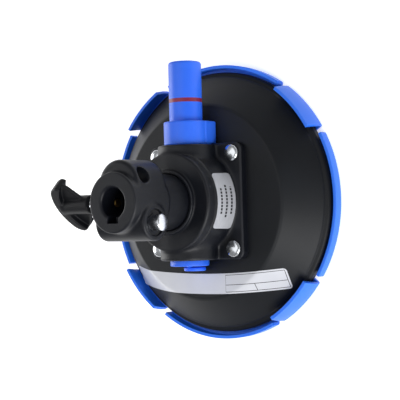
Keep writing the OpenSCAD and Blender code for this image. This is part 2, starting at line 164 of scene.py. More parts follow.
def cover_plastic(place):
    cloud = noise(place, 45, 3)
    grain = noise(place, 2600, 2)
    scuffs = noise(place, 320, 6, 0.7).maths("SMOOTH_MIN", 0.62, 0.05)
    return {
        "Base Color": blend(cloud, colour(38, 108, 236), colour(50, 122, 248)),
        "Roughness": spread(cloud, 0.3, 0.42) + grain * 0.06,
        "Normal": bump(grain * 0.25 + scuffs, 0.02 * mm),
        "Specular IOR Level": 0.4,
        "Subsurface Weight": 0.05,
        "Subsurface Scale": 0.002,
    }


def solid(name, bm):
    """The closed mesh in bm, with doubles merged and its faces turned outwards."""
    bmesh.ops.remove_doubles(bm, verts=bm.verts, dist=0.001 * mm)
    bmesh.ops.recalc_face_normals(bm, faces=bm.faces)
    mesh = bpy.data.meshes.new(name)
    bm.to_mesh(mesh)
    bm.free()
    return mesh


def shaped(mesh, *modifiers):
    """The mesh after those modifiers, each a type and its settings."""
    holder = bpy.data.objects.new(mesh.name, mesh)
    bpy.context.scene.collection.objects.link(holder)
    for kind, settings in modifiers:
        modifier = holder.modifiers.new(kind, kind)
        for key, value in settings.items():
            setattr(modifier, key, value)
    view = bpy.context.evaluated_depsgraph_get()
    made = bpy.data.meshes.new_from_object(holder.evaluated_get(view))
    bpy.data.objects.remove(holder)
    return made


def rounded_edges(width, segments=3, angle=35):
    return ("BEVEL", {
        "width": width, "segments": segments, "limit_method": "ANGLE",
        "angle_limit": math.radians(angle), "use_clamp_overlap": True,
    })


def put(name, mesh, body, node, finish, sharp=40):
    """Adds a finished piece that stands for a CAD node and rides on its body."""
    piece = bpy.data.objects.new(name, mesh)
    bpy.context.scene.collection.objects.link(piece)
    mesh.materials.clear()
    mesh.materials.append(finish)
    mesh.polygons.foreach_set("use_smooth", [True] * len(mesh.polygons))
    mesh.set_sharp_from_angle(angle=math.radians(sharp))
    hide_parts(node)
    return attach(piece, body)


def cover_mesh():
    """Floor, walls and hooks, turned cell by cell: each cell has the profile of its kind."""
    outer, inner = cover_radius, cover_radius - cover_wall
    tip = outer - hook_lean
    turns = [math.radians(15 * k) for k in range(7)]
    foot = [(outer - foot_round * (1 - math.sin(t)), foot_round * (1 - math.cos(t))) for t in turns]
    profiles = {
        "notch": [(notch_radius, 0), (notch_radius, cover_floor)],
        "wall": [
            (notch_radius, 0), *foot, (outer, wall_height), (inner, wall_height),
            (inner, cover_floor), (notch_radius, cover_floor),
        ],
        "hook": [
            (notch_radius, 0), *foot,
            (outer - 0.3 * mm, hook_height / 2), (tip, hook_height), (tip - cover_wall, hook_height),
            (inner - 0.3 * mm, hook_height / 2), (inner + 0.4 * mm, cover_floor),
            (notch_radius, cover_floor),
        ],
    }
    notch_span = 45 - wall_half - hook_half
    quarter = (("wall", 2 * wall_half, 30), ("notch", notch_span, 2), ("hook", 2 * hook_half, 12),
               ("notch", notch_span, 2))
    cells = [(kind, span / steps) for kind, span, steps in quarter * 4 for _ in range(steps)]
    bm = bmesh.new()

    def vertex(point, angle):
        turn = math.radians(angle)
        return bm.verts.new((point[0] * math.cos(turn), point[0] * math.sin(turn), point[1]))

    angle = cover_turn - wall_half
    floor, top = [], []
    for index, (kind, step) in enumerate(cells):
        here = [vertex(p, angle) for p in profiles[kind]]
        there = [vertex(p, angle + step) for p in profiles[kind]]
        for a, b, c, d in zip(here, there, there[1:], here[1:]):
            bm.faces.new((a, b, c, d))
        if kind != "notch" and cells[index - 1][0] != kind:
            bm.faces.new([vertex(p, angle) for p in profiles[kind]])
        if kind != "notch" and cells[(index + 1) % len(cells)][0] != kind:
            bm.faces.new([vertex(p, angle + step) for p in profiles[kind]])
        floor.append(vertex((notch_radius, 0), angle))
        top.append(vertex((notch_radius, cover_floor), angle))
        angle += step
    bm.faces.new(floor)
    bm.faces.new(top)
    return solid("pad_cover_mesh", bm)


cover_blue = material("cover_blue", cover_plastic)
put("pad_cover_shell", shaped(cover_mesh(), rounded_edges(cover_edge)), "pad_cover",
    "pad_cover", cover_blue)


# ---- Vacuum pad ----
# The rubber cup: compression moulded in black natural rubber round a steel plate. Its
# flat top carries the pump, a cone runs down to the lip, and fine ribs on the
# sealing face stop it from sliding.

pad_low, pad_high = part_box("vacuum_pad")
pad_radius = pad_high.x
pad_bottom, pad_top = pad_low.z, pad_high.z
plateau_radius = 56.1 * mm
lip_thickness = 4.6 * mm
seal_width = 6 * mm
hollow_roof = pad_bottom + 11 * mm
port_y = -23 * mm


def rubber(place):
    cloud = noise(place, 30, 4)
    grain = noise(place, 1500, 3)
    dust = noise(place, 5200, 2)
    return {
        "Base Color": blend(cloud, colour(12, 14, 18), colour(20, 24, 30)),
        "Roughness": spread(cloud, 0.4, 0.52) + dust * 0.08,
        "Normal": bump(grain, 0.03 * mm),
        "Specular IOR Level": 0.3,
        "Sheen Weight": 0.06,
        "Sheen Roughness": 0.4,
    }


def arc_corners(corners, steps=5):
    """The points of an outline given as (x, y, radius) corners; its two ends stay sharp."""
    points = [Vector(corners[0][:2])]
    for before, (x, y, radius), after in zip(corners, corners[1:], corners[2:]):
        here = Vector((x, y))
        if radius == 0:
            points.append(here)
            continue
        back = (Vector(before[:2]) - here).normalized()
        on = (Vector(after[:2]) - here).normalized()
        half = back.angle(on) / 2
        centre = here + (back + on).normalized() * radius / math.sin(half)
        start = here + back * radius / math.tan(half) - centre
        end = here + on * radius / math.tan(half) - centre
        points += [centre + start.slerp(end, i / steps) * radius for i in range(steps + 1)]
    return points + [Vector(corners[-1][:2])]


def turned(name, outline, steps=96, axis="Z", centre=(0, 0, 0)):
    """A solid turned from (radius, height) points: either from pole to pole, or a closed ring."""
    bm = bmesh.new()
    order = {"X": (1, 2, 0), "Y": (2, 0, 1), "Z": (0, 1, 2)}[axis]
    rings = []
    for radius, height in outline:
        count = 1 if radius < 1e-9 else steps
        ring = []
        for i in range(count):
            turn = 2 * math.pi * i / steps
            local = (radius * math.cos(turn), radius * math.sin(turn), height)
            at = Vector(centre)
            for value, direction in zip(local, order):
                at[direction] += value
            ring.append(bm.verts.new(at))
        rings.append(ring)
    pairs = list(zip(rings, rings[1:]))
    if len(rings[0]) > 1 and len(rings[-1]) > 1:
        pairs.append((rings[-1], rings[0]))
    for low, high in pairs:
        for i in range(steps if len(low) + len(high) > 2 else 0):
            j = (i + 1) % steps
            corners = [low[i % len(low)], low[j % len(low)], high[j % len(high)], high[i % len(high)]]
            bm.faces.new(list(dict.fromkeys(corners)))
    return solid(name, bm)


# The pad's skin from the flat top to the lip, as (radius, height, corner radius)
pad_skin = [
    (plateau_radius - 0.6 * mm, pad_top, 1.6 * mm),
    (plateau_radius + 0.9 * mm, pad_top - 1.1 * mm, 1.2 * mm),
    (pad_radius - 3.1 * mm, pad_bottom + lip_thickness + 2.3 * mm, 0.6 * mm),
    (pad_radius - 2.5 * mm, pad_bottom + lip_thickness + 1.2 * mm, 0.4 * mm),
    (pad_radius - 0.9 * mm, pad_bottom + lip_thickness + 0.3 * mm, 0.7 * mm),
    (pad_radius, pad_bottom + lip_thickness - 0.9 * mm, 0.3 * mm),
]


def pad_mesh():
    seal = pad_radius - seal_width
    ribs = []
    for k in range(3):
        rib = seal + (1.2 + 1.5 * k) * mm
        ribs += [(rib, pad_bottom, 0), (rib + 0.2 * mm, pad_bottom + 0.4 * mm, 0),
                 (rib + 0.5 * mm, pad_bottom + 0.4 * mm, 0), (rib + 0.7 * mm, pad_bottom, 0)]
    under = [
        (0, hollow_roof, 0), (seal * 0.55, hollow_roof, 6 * mm),
        (seal * 0.8, hollow_roof - 2.5 * mm, 6 * mm),
        (seal - 3 * mm, pad_bottom + 3 * mm, 1.5 * mm), (seal, pad_bottom, 0.5 * mm), *ribs,
        (pad_radius, pad_bottom, 0.5 * mm),
    ]
    outline = arc_corners([*under, *reversed(pad_skin), (0, pad_top, 0)])
    return turned("vacuum_pad_mesh", outline, 256)


pad_rubber = material("pad_rubber", rubber)
put("vacuum_pad_cup", pad_mesh(), "cup", "vacuum_pad", pad_rubber)


# ---- Pad plate and filter ----
# A pressed steel plate with four tapped bosses, moulded into the rubber so that the pump
# can be bolted on, and a felt disc in the pad's roof that keeps grit out of the port.


def plate_metal(place):
    roll = place.node("ShaderNodeMapping", {}, {"Vector": place, "Scale": (900, 30, 900)})
    streak = roll.node("ShaderNodeTexNoise", {}, {"Vector": roll, "Scale": 1.0, "Detail": 3.0})
    return {
        "Base Color": blend(streak, colour(150, 152, 155), colour(182, 184, 187)),
        "Roughness": spread(streak, 0.3, 0.5),
        "Normal": bump(streak, 0.01 * mm),
        "Metallic": 1.0,
    }


def felt_wool(place):
    fibre = noise(place, 1400, 6, 0.8)
    return {
        "Base Color": blend(fibre, colour(196, 192, 176), colour(226, 223, 210)),
        "Roughness": spread(fibre, 0.85, 1.0),
        "Normal": bump(fibre, 0.3 * mm),
        "Sheen Weight": 0.4,
    }


def dress(finish, *nodes):
    """Gives CAD nodes that stay a better material."""
    for name in nodes:
        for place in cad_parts[name].material_slots:
            place.material = finish


dress(material("plate_steel", plate_metal), "pad_plate")
dress(material("felt", felt_wool), "pad_filter")


# ---- Pad label ----
# A long die-cut sticker in white vinyl, laid across the flat top and down the cone on
# both sides. Its print is a plain ruled panel at one end and nothing else.

strip_low, strip_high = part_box("pad_label")
strip_width = 11.6 * mm
strip_bend = 450 * mm
strip_corner = 1.8 * mm
strip_lift = 0.12 * mm
label_thickness = 0.18 * mm


def skin_height(radius):
    """Height of the pad's skin at a radius."""
    inner = (0, pad_top, 0)
    for outer in pad_skin:
        if radius <= outer[0]:
            share = (radius - inner[0]) / (outer[0] - inner[0])
            return inner[1] + share * (outer[1] - inner[1])
        inner = outer
    return inner[1]


def sticker(name, length, width, corner, place, columns=120, rows=24):
    """A thin sheet with round corners; place gives the point for a distance along and across."""
    bm = bmesh.new()
    uv = bm.loops.layers.uv.new("print")
    grid = []
    for row in range(rows + 1):
        across = width * (1 - math.cos(math.pi * row / rows)) / 2
        edge = max(corner - min(across, width - across), 0)
        inset = corner - math.sqrt(max(corner ** 2 - edge ** 2, 0))
        line = []
        for column in range(columns + 1):
            along = inset + (length - 2 * inset) * column / columns
            line.append((bm.verts.new(place(along, across)), (along / length, across / length)))
        grid.append(line)
    for low, high in zip(grid, grid[1:]):
        for corners in zip(low, low[1:], high[1:], high):
            face = bm.faces.new([vertex for vertex, _ in corners])
            for loop, (_, mark) in zip(face.loops, corners):
                loop[uv].uv = mark
    mesh = bpy.data.meshes.new(name)
    bm.to_mesh(mesh)
    bm.free()
    return shaped(mesh, ("SOLIDIFY", {"thickness": label_thickness, "offset": -1.0}))


def strip_point(along, across):
    x = strip_low.x + along
    y = strip_low.y + strip_bend - math.sqrt((strip_bend - across) ** 2 - x ** 2)
    return Vector((x, y, skin_height(math.hypot(x, y)) + strip_lift + label_thickness))


strip_length = strip_high.x - strip_low.x
panel_start = 76.5 * mm
panel_margin = 1.0 * mm
rule_width = 0.32 * mm
rule_height = 5.0 * mm
divider_at = 95 * mm


def print_place(place, length):
    """Distances along and across a sticker, in metres, from its own map."""
    mark = place.node("ShaderNodeUVMap", {"uv_map": "print"}, {}, "UV")
    parts = mark.node("ShaderNodeSeparateXYZ", {}, {"Vector": mark}, "X")
    across = Wire(parts.tree, parts.socket.node.outputs["Y"])
    return parts * length, across * length


def rule(distance, at, width=rule_width):
    """1 on a printed line at that distance, 0 elsewhere."""
    return abs(distance - at).maths("LESS_THAN", width / 2)


def between(distance, low, high):
    """1 from low to high, 0 elsewhere."""
    return distance.maths("GREATER_THAN", low) * distance.maths("LESS_THAN", high)


def strip_vinyl(place):
    along, across = print_place(place, strip_length)
    end = strip_length - panel_margin
    top = strip_width - panel_margin
    panel = between(along, panel_start, end + rule_width / 2) * between(across, panel_margin, top)
    lines = rule(along, panel_start) + rule(along, end) + rule(across, rule_height)
    divider = rule(along, divider_at) * across.maths("LESS_THAN", rule_height)
    border = (rule(across, panel_margin) + rule(across, top)) * between(along, panel_start, end)
    ink = (panel * (lines + divider) + border).maths("MINIMUM", 1.0)
    cloud = noise(place, 90, 3)
    fibre = noise(place, 1800, 2)
    paper = blend(cloud, colour(198, 200, 208), colour(211, 213, 219))
    return {
        "Base Color": blend(ink, paper, colour(24, 24, 28)),
        "Roughness": spread(cloud, 0.28, 0.4),
        "Normal": bump(fibre, 0.01 * mm),
        "Coat Weight": 0.3,
        "Coat Roughness": 0.2,
    }


strip_mesh = sticker("pad_label_mesh", strip_length, strip_width, strip_corner, strip_point)
put("pad_label_strip", strip_mesh, "cup", "pad_label", material("label_white", strip_vinyl))


# ---- Pump body ----
# One die casting in aluminium under a black powder coat: a square flange, the dome that
# carries the head's swivel post and guard ring, and the barrel of the pump through it.
# Four screws hold it down on the pad.

body_low, body_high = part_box("pump_body")
flange_top = pad_top + 5 * mm
dome_top = body_high.z - 6.6 * mm
dome_foot = 29.4 * mm
dome_front = 28 * mm
guard_inner = 15.9 * mm
guard_outer = 17.95 * mm
guard_top = dome_top + 2.2 * mm
post_radius = 7 * mm
barrel_radius = 16.5 * mm
barrel_up = 32.2 * mm
pump_height = sum(corner.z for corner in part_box("plunger")) / 2
liner_radius = 10.9 * mm
shank_radius = 8.25 * mm
screw_offset = 26.8 * mm
screw_hole = 2.75 * mm
port_radius = 2.2 * mm
casting_cell = 0.5 * mm


def hypot(a, b):
    return (a * a + b * b).maths("SQRT")


def meet(a, b, edge=0.0):
    """Where two solids both are, with the edge between them rounded; each is a distance, under 0 inside."""
    a, b = a + edge, b + edge
    outside = hypot(a.maths("MAXIMUM", 0.0), b.maths("MAXIMUM", 0.0))
    return outside + a.maths("MAXIMUM", b).maths("MINIMUM", 0.0) - edge


def slab(along, low, high):
    return abs(along - (low + high) / 2) - (high - low) / 2


def rod(a, b, radius, along, low, high, edge=0.0):
    """A cylinder round the line where a and b are 0, from low to high."""
    return meet(hypot(a, b) - radius, slab(along, low, high), edge)


def weld(solids, fillet):
    """All the solids, run together with fillets."""
    whole = solids[0]
    for other in solids[1:]:
        whole = whole.maths("SMOOTH_MIN", other, fillet)
    return whole


def cut(whole, tools, edge):
    """The solid without the tools, with its new edges broken."""
    for tool in tools:
        whole = whole.maths("SMOOTH_MAX", tool * -1, edge)
    return whole


def grown(name, finish, sizes, build, start=None):
    """The plain mesh that a Geometry Nodes tree gives for its named sizes; build makes its nodes."""
    tree = bpy.data.node_groups.new(name, "GeometryNodeTree")
    kinds = {int: "NodeSocketInt", float: "NodeSocketFloat", Vector: "NodeSocketVector"}
    face = tree.interface
    face.new_socket("Geometry", in_out="OUTPUT", socket_type="NodeSocketGeometry")
    face.new_socket("Start", in_out="INPUT", socket_type="NodeSocketGeometry")
    sockets = {label: face.new_socket(label, in_out="INPUT", socket_type=kinds[type(value)])
               for label, value in sizes.items()}
    given = tree.nodes.new("NodeGroupInput")
    shape = build(*[Wire(tree, out) for out in given.outputs if out.name])
    whole = shape.node("GeometryNodeRealizeInstances", {}, {"Geometry": shape})
    faced = whole.node("GeometryNodeSetMaterial", {}, {"Geometry": whole, "Material": finish})
    tree.links.new(faced.socket, tree.nodes.new("NodeGroupOutput").inputs[0])
    holder = bpy.data.objects.new(name, start or bpy.data.meshes.new(name + "_start"))
    bpy.context.scene.collection.objects.link(holder)
    modifier = holder.modifiers.new("made", "NODES")
    modifier.node_group = tree
    for label, socket in sockets.items():
        modifier[socket.identifier] = sizes[label]
    view = bpy.context.evaluated_depsgraph_get()
    made = bpy.data.meshes.new_from_object(holder.evaluated_get(view))
    holder.modifiers.remove(modifier)
    bpy.data.objects.remove(holder)
    return made


def cast(name, node, cell, finish, distance):
    """The skin of the solid whose distance is given for x, y and z, in the box of a CAD node."""
    low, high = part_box(node)
    margin = Vector((1, 1, 1)) * 2 * mm

    def skin(start, size):
        place = start.node("GeometryNodeInputPosition")
        split = place.node("ShaderNodeSeparateXYZ", {}, {"Vector": place}).socket.node
        field = distance(*[Wire(start.tree, out) for out in split.outputs])
        inputs = {
            "Density": (0.5 - field / (size * 4)).maths("MAXIMUM", 0.0).maths("MINIMUM", 1.0),
            "Min": low - margin, "Max": high + margin,
        }
        for axis, length in zip("XYZ", high - low + 2 * margin):
            inputs["Resolution " + axis] = length / size
        volume = start.node("GeometryNodeVolumeCube", {}, inputs)
        return start.node("GeometryNodeVolumeToMesh", {}, {"Volume": volume, "Threshold": 0.5})

    return grown(name, finish, {"Cell": cell}, skin)


def body_field(x, y, z):
    half = body_high.x
    radial = hypot(x, y)
    up = z - pump_height
    plan = meet(abs(x) - half, abs(y) - half, 4.5 * mm)
    flange = meet(plan, slab(z, pad_top - 4 * mm, flange_top), 0.8 * mm)
    slope = (dome_foot - dome_front) / (dome_top - flange_top)
    wall = radial - dome_foot + (z - flange_top) * slope
    step = ((z - (dome_top - 6.6 * mm)) * 4.0).maths("MINIMUM", 0.35 * mm).maths("MAXIMUM", 0.0)
    dome = meet(wall + step, slab(z, pad_top - 4 * mm, dome_top), 1.4 * mm)
    barrel = rod(x, up, barrel_radius, y, body_low.y, barrel_up, 1.1 * mm)
    outside = weld([flange, dome, barrel], 3.4 * mm)
    guard = meet(abs(radial - (guard_inner + guard_outer) / 2) - (guard_outer - guard_inner) / 2,
                 slab(z, flange_top, guard_top), 0.5 * mm)
    post = meet(radial - post_radius, slab(z, flange_top, body_high.z), 0.4 * mm)
    outside = weld([outside, guard, post], 1.2 * mm)
    corner = hypot(abs(x) - screw_offset, abs(y) - screw_offset)
    tools = [
        rod(x, up, liner_radius, y, -20 * mm, 80 * mm),
        rod(x, up, shank_radius, y, -80 * mm, -26 * mm),
        rod(x, up, port_radius, y, -30 * mm, 0.0),
        rod(x, y - port_y, port_radius, z, 0.0, pump_height),
        corner - screw_hole,
        rod(x, y, 3 * mm, z, body_high.z - 10.8 * mm, 80 * mm),
    ]
    whole = cut(outside, tools, 0.5 * mm)
    for face in (pad_top - z, body_low.y - y, y - body_high.y, meet(barrel_up - y, flange_top - z) * -1):
        whole = whole.maths("MAXIMUM", face)
    return whole


def powder_coat(place):
    peel = noise(place, 1300, 2)
    cloud = noise(place, 60, 4)
    speck = noise(place, 4200, 2)
    # Sharp edges are mixed towards a lighter grey by pointiness: partly wear on the coat's edges, partly a
    # painted highlight along the edges.
    wear_and_painted_highlight = place.node("ShaderNodeNewGeometry", {}, {}, "Pointiness")
    stops = [(0.515, (0, 0, 0, 1)), (0.58, (1, 1, 1, 1))]
    edge = wear_and_painted_highlight.node("ShaderNodeValToRGB", {"stops": stops}, {0: wear_and_painted_highlight})
    coat = blend(cloud, colour(13, 15, 20), colour(22, 25, 33))
    return {
        "Base Color": blend(edge * 0.35, coat, colour(72, 74, 80)),
        "Roughness": spread(cloud, 0.36, 0.46) + speck * 0.08,
        "Normal": bump(peel, 0.05 * mm),
        "Specular IOR Level": 0.32,
    }


casting_black = material("casting_black", powder_coat)
put("pump_body_casting", cast("pump_body_mesh", "pump_body", casting_cell, casting_black, body_field),
    "cup", "pump_body", casting_black, 50)


# ---- Flange screws ----
# Four zinc-plated pan-head machine screws with a cross recess. They go through the
# flange's corners into the bosses of the plate in the pad.

head_radius = 4.7 * mm
head_height = 2.9 * mm
recess_width = 1.1 * mm
recess_reach = 2.5 * mm
recess_depth = 1.7 * mm
screw_reach = 10.5 * mm
thread_radius = 2.5 * mm


def zinc(place):
    cloud = noise(place, 700, 4)
    streak = noise(place, 4000, 2)
    return {
        "Base Color": blend(cloud, colour(196, 201, 208), colour(226, 229, 232)),
        "Roughness": spread(cloud, 0.14, 0.3),
        "Normal": bump(streak, 0.006 * mm),
        "Metallic": 1.0,
    }


def cross_recess():
    """Two crossed blades that narrow towards the bottom of the recess."""
    bm = bmesh.new()
    for turn in (0, math.pi / 2):
        blade = bmesh.ops.create_cube(bm, size=1)["verts"]
        for vertex in blade:
            deep = vertex.co.z < 0
            reach = recess_reach * (0.45 if deep else 1.15)
            thick = recess_width * (0.6 if deep else 1.05) / 2
            x, y = math.copysign(reach, vertex.co.x), math.copysign(thick, vertex.co.y)
            height = head_height - recess_depth if deep else head_height + 0.5 * mm
            vertex.co = (x * math.cos(turn) - y * math.sin(turn),
                         x * math.sin(turn) + y * math.cos(turn), height)
    blades = bpy.data.objects.new("recess", solid("recess_mesh", bm))
    bpy.context.scene.collection.objects.link(blades)
    return blades


def screw_mesh():
    dome = [(head_radius * math.cos(t), head_height * (0.38 + 0.62 * math.sin(t)))
            for t in (math.radians(a) for a in range(0, 90, 9))]
    thread = []
    for k in range(8):
        height = -screw_reach + (1 + k) * mm
        thread += [(thread_radius - 0.35 * mm, height), (thread_radius, height + 0.4 * mm)]
    outline = [(0, -screw_reach), *thread, (thread_radius, 0), (head_radius - 0.3 * mm, 0),
               (head_radius, 0.3 * mm), *dome, (0, head_height)]
    blank = turned("screw_blank", outline, 40)
    blades = cross_recess()
    made = shaped(blank, ("BOOLEAN", {"object": blades, "operation": "DIFFERENCE", "solver": "EXACT"}))
    bpy.data.objects.remove(blades)
    return made


def four_corners(screw, pitch, seat, seed):
    """The screw at each corner of the flange, each turned its own way."""
    grid = screw.node("GeometryNodeMeshGrid", {}, {
        "Size X": pitch, "Size Y": pitch, "Vertices X": 2, "Vertices Y": 2})
    raised = screw.node("ShaderNodeCombineXYZ", {}, {"Z": seat})
    points = screw.node("GeometryNodeSetPosition", {}, {"Geometry": grid, "Offset": raised})
    span = {2: 0.0, 3: 2 * math.pi, "Seed": seed}
    turn = screw.node("FunctionNodeRandomValue", {"data_type": "FLOAT"}, span, 1)
    facing = screw.node("ShaderNodeCombineXYZ", {}, {"Z": turn})
    return screw.node("GeometryNodeInstanceOnPoints", {}, {
        "Points": points, "Instance": screw, "Rotation": facing})


screw_sizes = {"Pitch": 2 * screw_offset, "Seat": flange_top, "Seed": 4}
zinc_screw = material("zinc_screw", zinc)
put("body_screws_set", grown("body_screws_mesh", zinc_screw, screw_sizes, four_corners, screw_mesh()),
    "cup", "body_screws", zinc_screw, 30)


# ---- Dome label ----
# A silver polyester sticker round the dome's side with round corners. Its print is three
# rows of plain dashes.

patch_low, patch_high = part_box("body_label")
patch_half = math.radians(32)
patch_corner = 2.2 * mm
patch_height = patch_high.z - patch_low.z
patch_length = 2 * patch_half * patch_high.x
row_pitch = 4.2 * mm
row_height = 1.5 * mm
dash_pitch = 1.9 * mm


def patch_point(along, across):
    angle = patch_half - along / patch_high.x
    height = patch_high.z - across
    slope = (dome_foot - dome_front) / (dome_top - flange_top)
    radius = dome_foot - (height - flange_top) * slope + 0.05 * mm + label_thickness
    return Vector((radius * math.cos(angle), radius * math.sin(angle), height))


def silver_film(place):
    along, across = print_place(place, patch_length)
    ink = None
    for index, half_length in enumerate((7.5 * mm, 9.5 * mm, 8 * mm)):
        row = rule(across, patch_height / 2 + (index - 1) * row_pitch, row_height)
        reach = rule(along, patch_length / 2, 2 * half_length)
        ink = row * reach if ink is None else ink + row * reach
    dash = (along / dash_pitch + 0.1 * noise(place, 400)).maths("FRACT").maths("LESS_THAN", 0.72)
    brushed = place.node("ShaderNodeMapping", {}, {"Vector": place, "Scale": (600, 90, 1600)})
    grain = brushed.node("ShaderNodeTexNoise", {}, {"Vector": brushed, "Scale": 1.0, "Detail": 2.0})
    film = blend(grain, colour(178, 180, 188), colour(206, 208, 214))
    return {
        "Base Color": blend(ink * dash, film, colour(40, 40, 46)),
        "Roughness": spread(grain, 0.34, 0.5),
        "Normal": bump(grain, 0.008 * mm),
        "Metallic": 0.35,
    }


patch_mesh = sticker("body_label_mesh", patch_length, patch_height, patch_corner, patch_point, 60)
label_silver = material("label_silver", silver_film)
put("body_label_patch", patch_mesh, "cup", "body_label", label_silver)


# ---- Plunger collar ----
# The blue moulded cap that closes the barrel: round over the plunger, with square feet
# down to the pad. Its spigot is pressed into the barrel's brass liner, and a rubber wiper
# sits in it.

collar_low, collar_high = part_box("collar")
collar_foot = pad_top + 0.8 * mm
collar_half = collar_high.x
collar_radius = collar_half - 0.2 * mm
plunger_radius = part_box("plunger")[1].x
wiper_low, wiper_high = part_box("collar_wiper")
fine_cell = 0.35 * mm


def pump_plastic(place):
    cloud = noise(place, 55, 3)
    grain = noise(place, 2400, 2)
    rub = noise(place, 380, 6, 0.7).maths("SMOOTH_MIN", 0.62, 0.05)
    return {
        "Base Color": blend(cloud, colour(40, 98, 232), colour(52, 112, 244)),
        "Roughness": spread(cloud, 0.34, 0.46) + grain * 0.06,
        "Normal": bump(grain * 0.3 + rub, 0.02 * mm),
        "Specular IOR Level": 0.4,
        "Subsurface Weight": 0.05,
        "Subsurface Scale": 0.002,
    }


def brass_metal(place):
    streak = noise(place, 900, 4)
    return {
        "Base Color": blend(streak, colour(186, 146, 78), colour(214, 176, 104)),
        "Roughness": spread(streak, 0.24, 0.4),
        "Normal": bump(streak, 0.01 * mm),
        "Metallic": 1.0,
    }


def seal_black(place):
    grain = noise(place, 1600, 3)
    return {
        "Base Color": blend(grain, colour(17, 17, 18), colour(28, 28, 30)),
        "Roughness": spread(grain, 0.5, 0.65),
        "Normal": bump(grain, 0.02 * mm),
    }


def collar_field(x, y, z):
    up = z - pump_height
    round_part = meet(hypot(x, up) - collar_radius, collar_foot - z)
    feet = meet(abs(x) - collar_half, slab(z, collar_foot, pump_height - 1.5 * mm), 0.3 * mm)
    plan = round_part.maths("SMOOTH_MIN", feet, 1.2 * mm)
    outside = meet(plan, slab(y, barrel_up, collar_high.y), 0.8 * mm)
    spigot = rod(x, up, liner_radius - 0.05 * mm, y, collar_low.y, barrel_up + 1 * mm)
    whole = outside.maths("MINIMUM", spigot)
    tools = [
        hypot(x, up) - plunger_radius - 0.08 * mm,
        rod(x, up, wiper_high.x, y, wiper_low.y, wiper_high.y),
        meet(y - body_high.y - 0.15 * mm, z - flange_top - 0.15 * mm),
    ]
    return cut(whole, tools, 0.2 * mm)


pump_blue = material("pump_blue", pump_plastic)
brass = material("brass", brass_metal)
seal_rubber = material("seal_rubber", seal_black)
put("collar_moulding", cast("collar_mesh", "collar", fine_cell, pump_blue, collar_field), "cup",
    "collar", pump_blue, 50)
dress(brass, "pump_liner")
dress(seal_rubber, "collar_wiper")


# ---- Plunger ----
# The hand pump's plunger: a blue acetal tube with a rounded end. The red ring round it
# comes out of the collar when the cup has lost vacuum.

plunger_low, plunger_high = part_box("plunger")
line_low, line_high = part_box("red_line")
line_depth = 0.5 * mm
tube_inner = plunger_radius - 3 * mm
tube_end = 4 * mm
tip_round = 1.6 * mm
on_pump = (0, 0, pump_height)


def red_paint(place):
    cloud = noise(place, 300, 4)
    return {
        "Base Color": blend(cloud, colour(112, 24, 56), colour(134, 32, 64)),
        "Roughness": spread(cloud, 0.35, 0.5),
        "Normal": bump(cloud, 0.01 * mm),
    }


def plunger_mesh():
    groove = plunger_radius - line_depth
    outline = arc_corners([
        (0, plunger_high.y, 0), (plunger_radius, plunger_high.y, tip_round),
        (plunger_radius, line_high.y, 0.1 * mm), (groove, line_high.y, 0), (groove, line_low.y, 0),
        (plunger_radius, line_low.y, 0.1 * mm), (plunger_radius, plunger_low.y, 0.3 * mm),
        (tube_inner, plunger_low.y, 0), (tube_inner, plunger_high.y - tube_end, 1 * mm),
        (0, plunger_high.y - tube_end, 0),
    ], 6)
    return turned("plunger_mesh", outline, 96, "Y", on_pump)


put("plunger_tube", plunger_mesh(), "plunger", "plunger", pump_blue)
dress(material("red_band", red_paint), "red_line")


# ---- Piston and pump spring ----
# A white acetal piston with a rubber ring, held in the plunger by a screw from below. The
# spring under it, wound in stainless wire, pushes the plunger out again.

spring_wire = 0.55 * mm
spring_turns = 5.5


def white_acetal(place):
    cloud = noise(place, 200, 3)
    return {
        "Base Color": blend(cloud, colour(212, 211, 202), colour(226, 225, 218)),
        "Roughness": spread(cloud, 0.35, 0.5),
        "Normal": bump(cloud, 0.02 * mm),
    }


def spring_wire_steel(place):
    drawn = noise(place, 2200, 3)
    return {
        "Base Color": blend(drawn, colour(160, 164, 170), colour(190, 194, 200)),
        "Roughness": spread(drawn, 0.2, 0.36),
        "Normal": bump(drawn, 0.005 * mm),
        "Metallic": 1.0,
    }


def wound(start, coil, wire, length, turns, place, turn):
    """A coil along the turned Z axis from a place, with closed wire ends."""
    helix = start.node("GeometryNodeCurveSpiral", {}, {
        "Resolution": 40, "Rotations": turns, "Start Radius": coil, "End Radius": coil, "Height": length})
    section = start.node("GeometryNodeCurvePrimitiveCircle", {"mode": "RADIUS"}, {
        "Resolution": 10, "Radius": wire})
    skin = start.node("GeometryNodeCurveToMesh", {}, {
        "Curve": helix, "Profile Curve": section, "Fill Caps": True})
    return start.node("GeometryNodeTransform", {}, {
        "Geometry": skin, "Translation": place, "Rotation": turn})


def spring(name, body, node, coil, wire, turns, axis):
    """A spring that fills its CAD node along an axis."""
    low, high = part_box(node)
    centre = (low + high) / 2
    along = "XYZ".index(axis)
    length = high[along] - low[along] - 2 * wire
    centre[along] = low[along] + wire
    turn = {"X": Vector((0, math.pi / 2, 0)), "Y": Vector((-math.pi / 2, 0, 0))}[axis]
    sizes = {"Coil": coil, "Wire": wire, "Length": length, "Turns": turns, "Place": centre, "Turn": turn}
    made = grown(name + "_mesh", spring_steel, sizes, wound)
    return put(name, made, body, node, spring_steel)


spring_steel = material("spring_steel", spring_wire_steel)
white_plastic = material("white_plastic", white_acetal)
pump_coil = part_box("plunger_spring")[1].x - spring_wire
pump_spring = spring(
    "plunger_spring_coil", "cup", "plunger_spring", pump_coil, spring_wire, spring_turns, "Y")
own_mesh(pump_spring)
dress(white_plastic, "piston", "valve_cage")
dress(seal_rubber, "piston_seal", "intake_flap")
dress(material("pan_steel", zinc), "piston_screw")


# ---- Release valve ----
# The blue cap screwed into the barrel's lower end. A lever with a round thumb pad tilts a
# rubber seal off the hole in it and lets the air back in.

